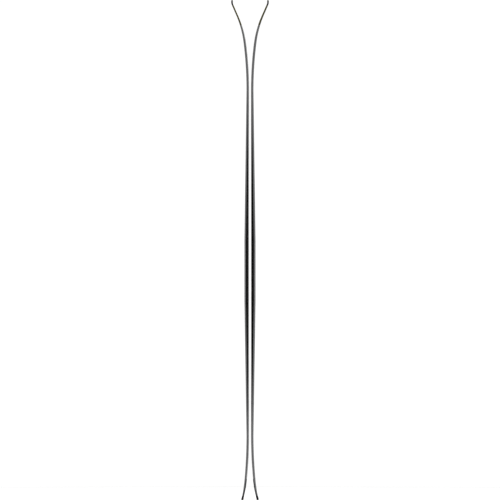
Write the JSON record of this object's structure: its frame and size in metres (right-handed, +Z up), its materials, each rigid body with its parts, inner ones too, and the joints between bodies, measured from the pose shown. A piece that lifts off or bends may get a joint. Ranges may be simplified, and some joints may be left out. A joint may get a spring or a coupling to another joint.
{
  "type": "cross country ski",
  "caption": "Metal-edged touring cross-country skis stored upright and base to base: flared tips, turned-up tails, black sidewalls, sloped grey cap shoulders, no bindings.",
  "frame": {"origin": "on the plane that the tails stand on, midway between the two skis' running surfaces and on their centre line", "axes": "+Z up along the skis from the tails to the tips; +X from the gap through the right-hand ski to its top surface (the left-hand ski is on -X); +Y across the skis' width"},
  "size_m": [0.1422, 0.098, 1.89],
  "materials": {
    "base_plastic": "structured sintered running base, waxed satin",
    "steel_edge": "ground and polished edge",
    "edge_rubber": "matt foil",
    "sidewall_plastic": "milled, satin",
    "glass_laminate": "cured glass fibre and resin",
    "core_wood_light": "planed, vertical strips",
    "core_wood_dark": "planed, vertical strips",
    "binding_plate": "rolled sheet",
    "topsheet_film": "satin film, charcoal with a plain gold band at the tip",
    "tip_spacer_gold": "milled, satin",
    "tail_spacer_black": "milled, satin",
    "protector_plastic": "moulded, fine grain"
  },
  "bodies": {
    "right_ski": {"right_ski_base": "base_plastic", "right_ski_left_steel_edge": "steel_edge", "right_ski_left_edge_rubber": "edge_rubber", "right_ski_left_sidewall": "sidewall_plastic", "right_ski_right_steel_edge": "steel_edge", "right_ski_right_edge_rubber": "edge_rubber", "right_ski_right_sidewall": "sidewall_plastic", "right_ski_lower_laminate": "glass_laminate", "right_ski_core_strip_1": "core_wood_light", "right_ski_core_strip_2": "core_wood_dark", "right_ski_core_strip_3": "core_wood_light", "right_ski_core_strip_4": "core_wood_dark", "right_ski_core_strip_5": "core_wood_light", "right_ski_core_strip_6": "core_wood_dark", "right_ski_core_strip_7": "core_wood_light", "right_ski_binding_plate": "binding_plate", "right_ski_upper_laminate": "glass_laminate", "right_ski_topsheet": "topsheet_film", "right_ski_tip_spacer": "tip_spacer_gold", "right_ski_tail_spacer": "tail_spacer_black", "right_ski_tip_protector": "protector_plastic", "right_ski_tail_protector": "protector_plastic"},
    "left_ski": {"left_ski_base": "base_plastic", "left_ski_left_steel_edge": "steel_edge", "left_ski_left_edge_rubber": "edge_rubber", "left_ski_left_sidewall": "sidewall_plastic", "left_ski_right_steel_edge": "steel_edge", "left_ski_right_edge_rubber": "edge_rubber", "left_ski_right_sidewall": "sidewall_plastic", "left_ski_lower_laminate": "glass_laminate", "left_ski_core_strip_1": "core_wood_light", "left_ski_core_strip_2": "core_wood_dark", "left_ski_core_strip_3": "core_wood_light", "left_ski_core_strip_4": "core_wood_dark", "left_ski_core_strip_5": "core_wood_light", "left_ski_core_strip_6": "core_wood_dark", "left_ski_core_strip_7": "core_wood_light", "left_ski_binding_plate": "binding_plate", "left_ski_upper_laminate": "glass_laminate", "left_ski_topsheet": "topsheet_film", "left_ski_tip_spacer": "tip_spacer_gold", "left_ski_tail_spacer": "tail_spacer_black", "left_ski_tip_protector": "protector_plastic", "left_ski_tail_protector": "protector_plastic"}
  },
  "joints": [
    {"name": "left_ski_slide", "type": "slide", "parent": "right_ski", "child": "left_ski", "axis": [-1, 0, 0], "range_m": [-0.0073, 0.3]}
  ]
}
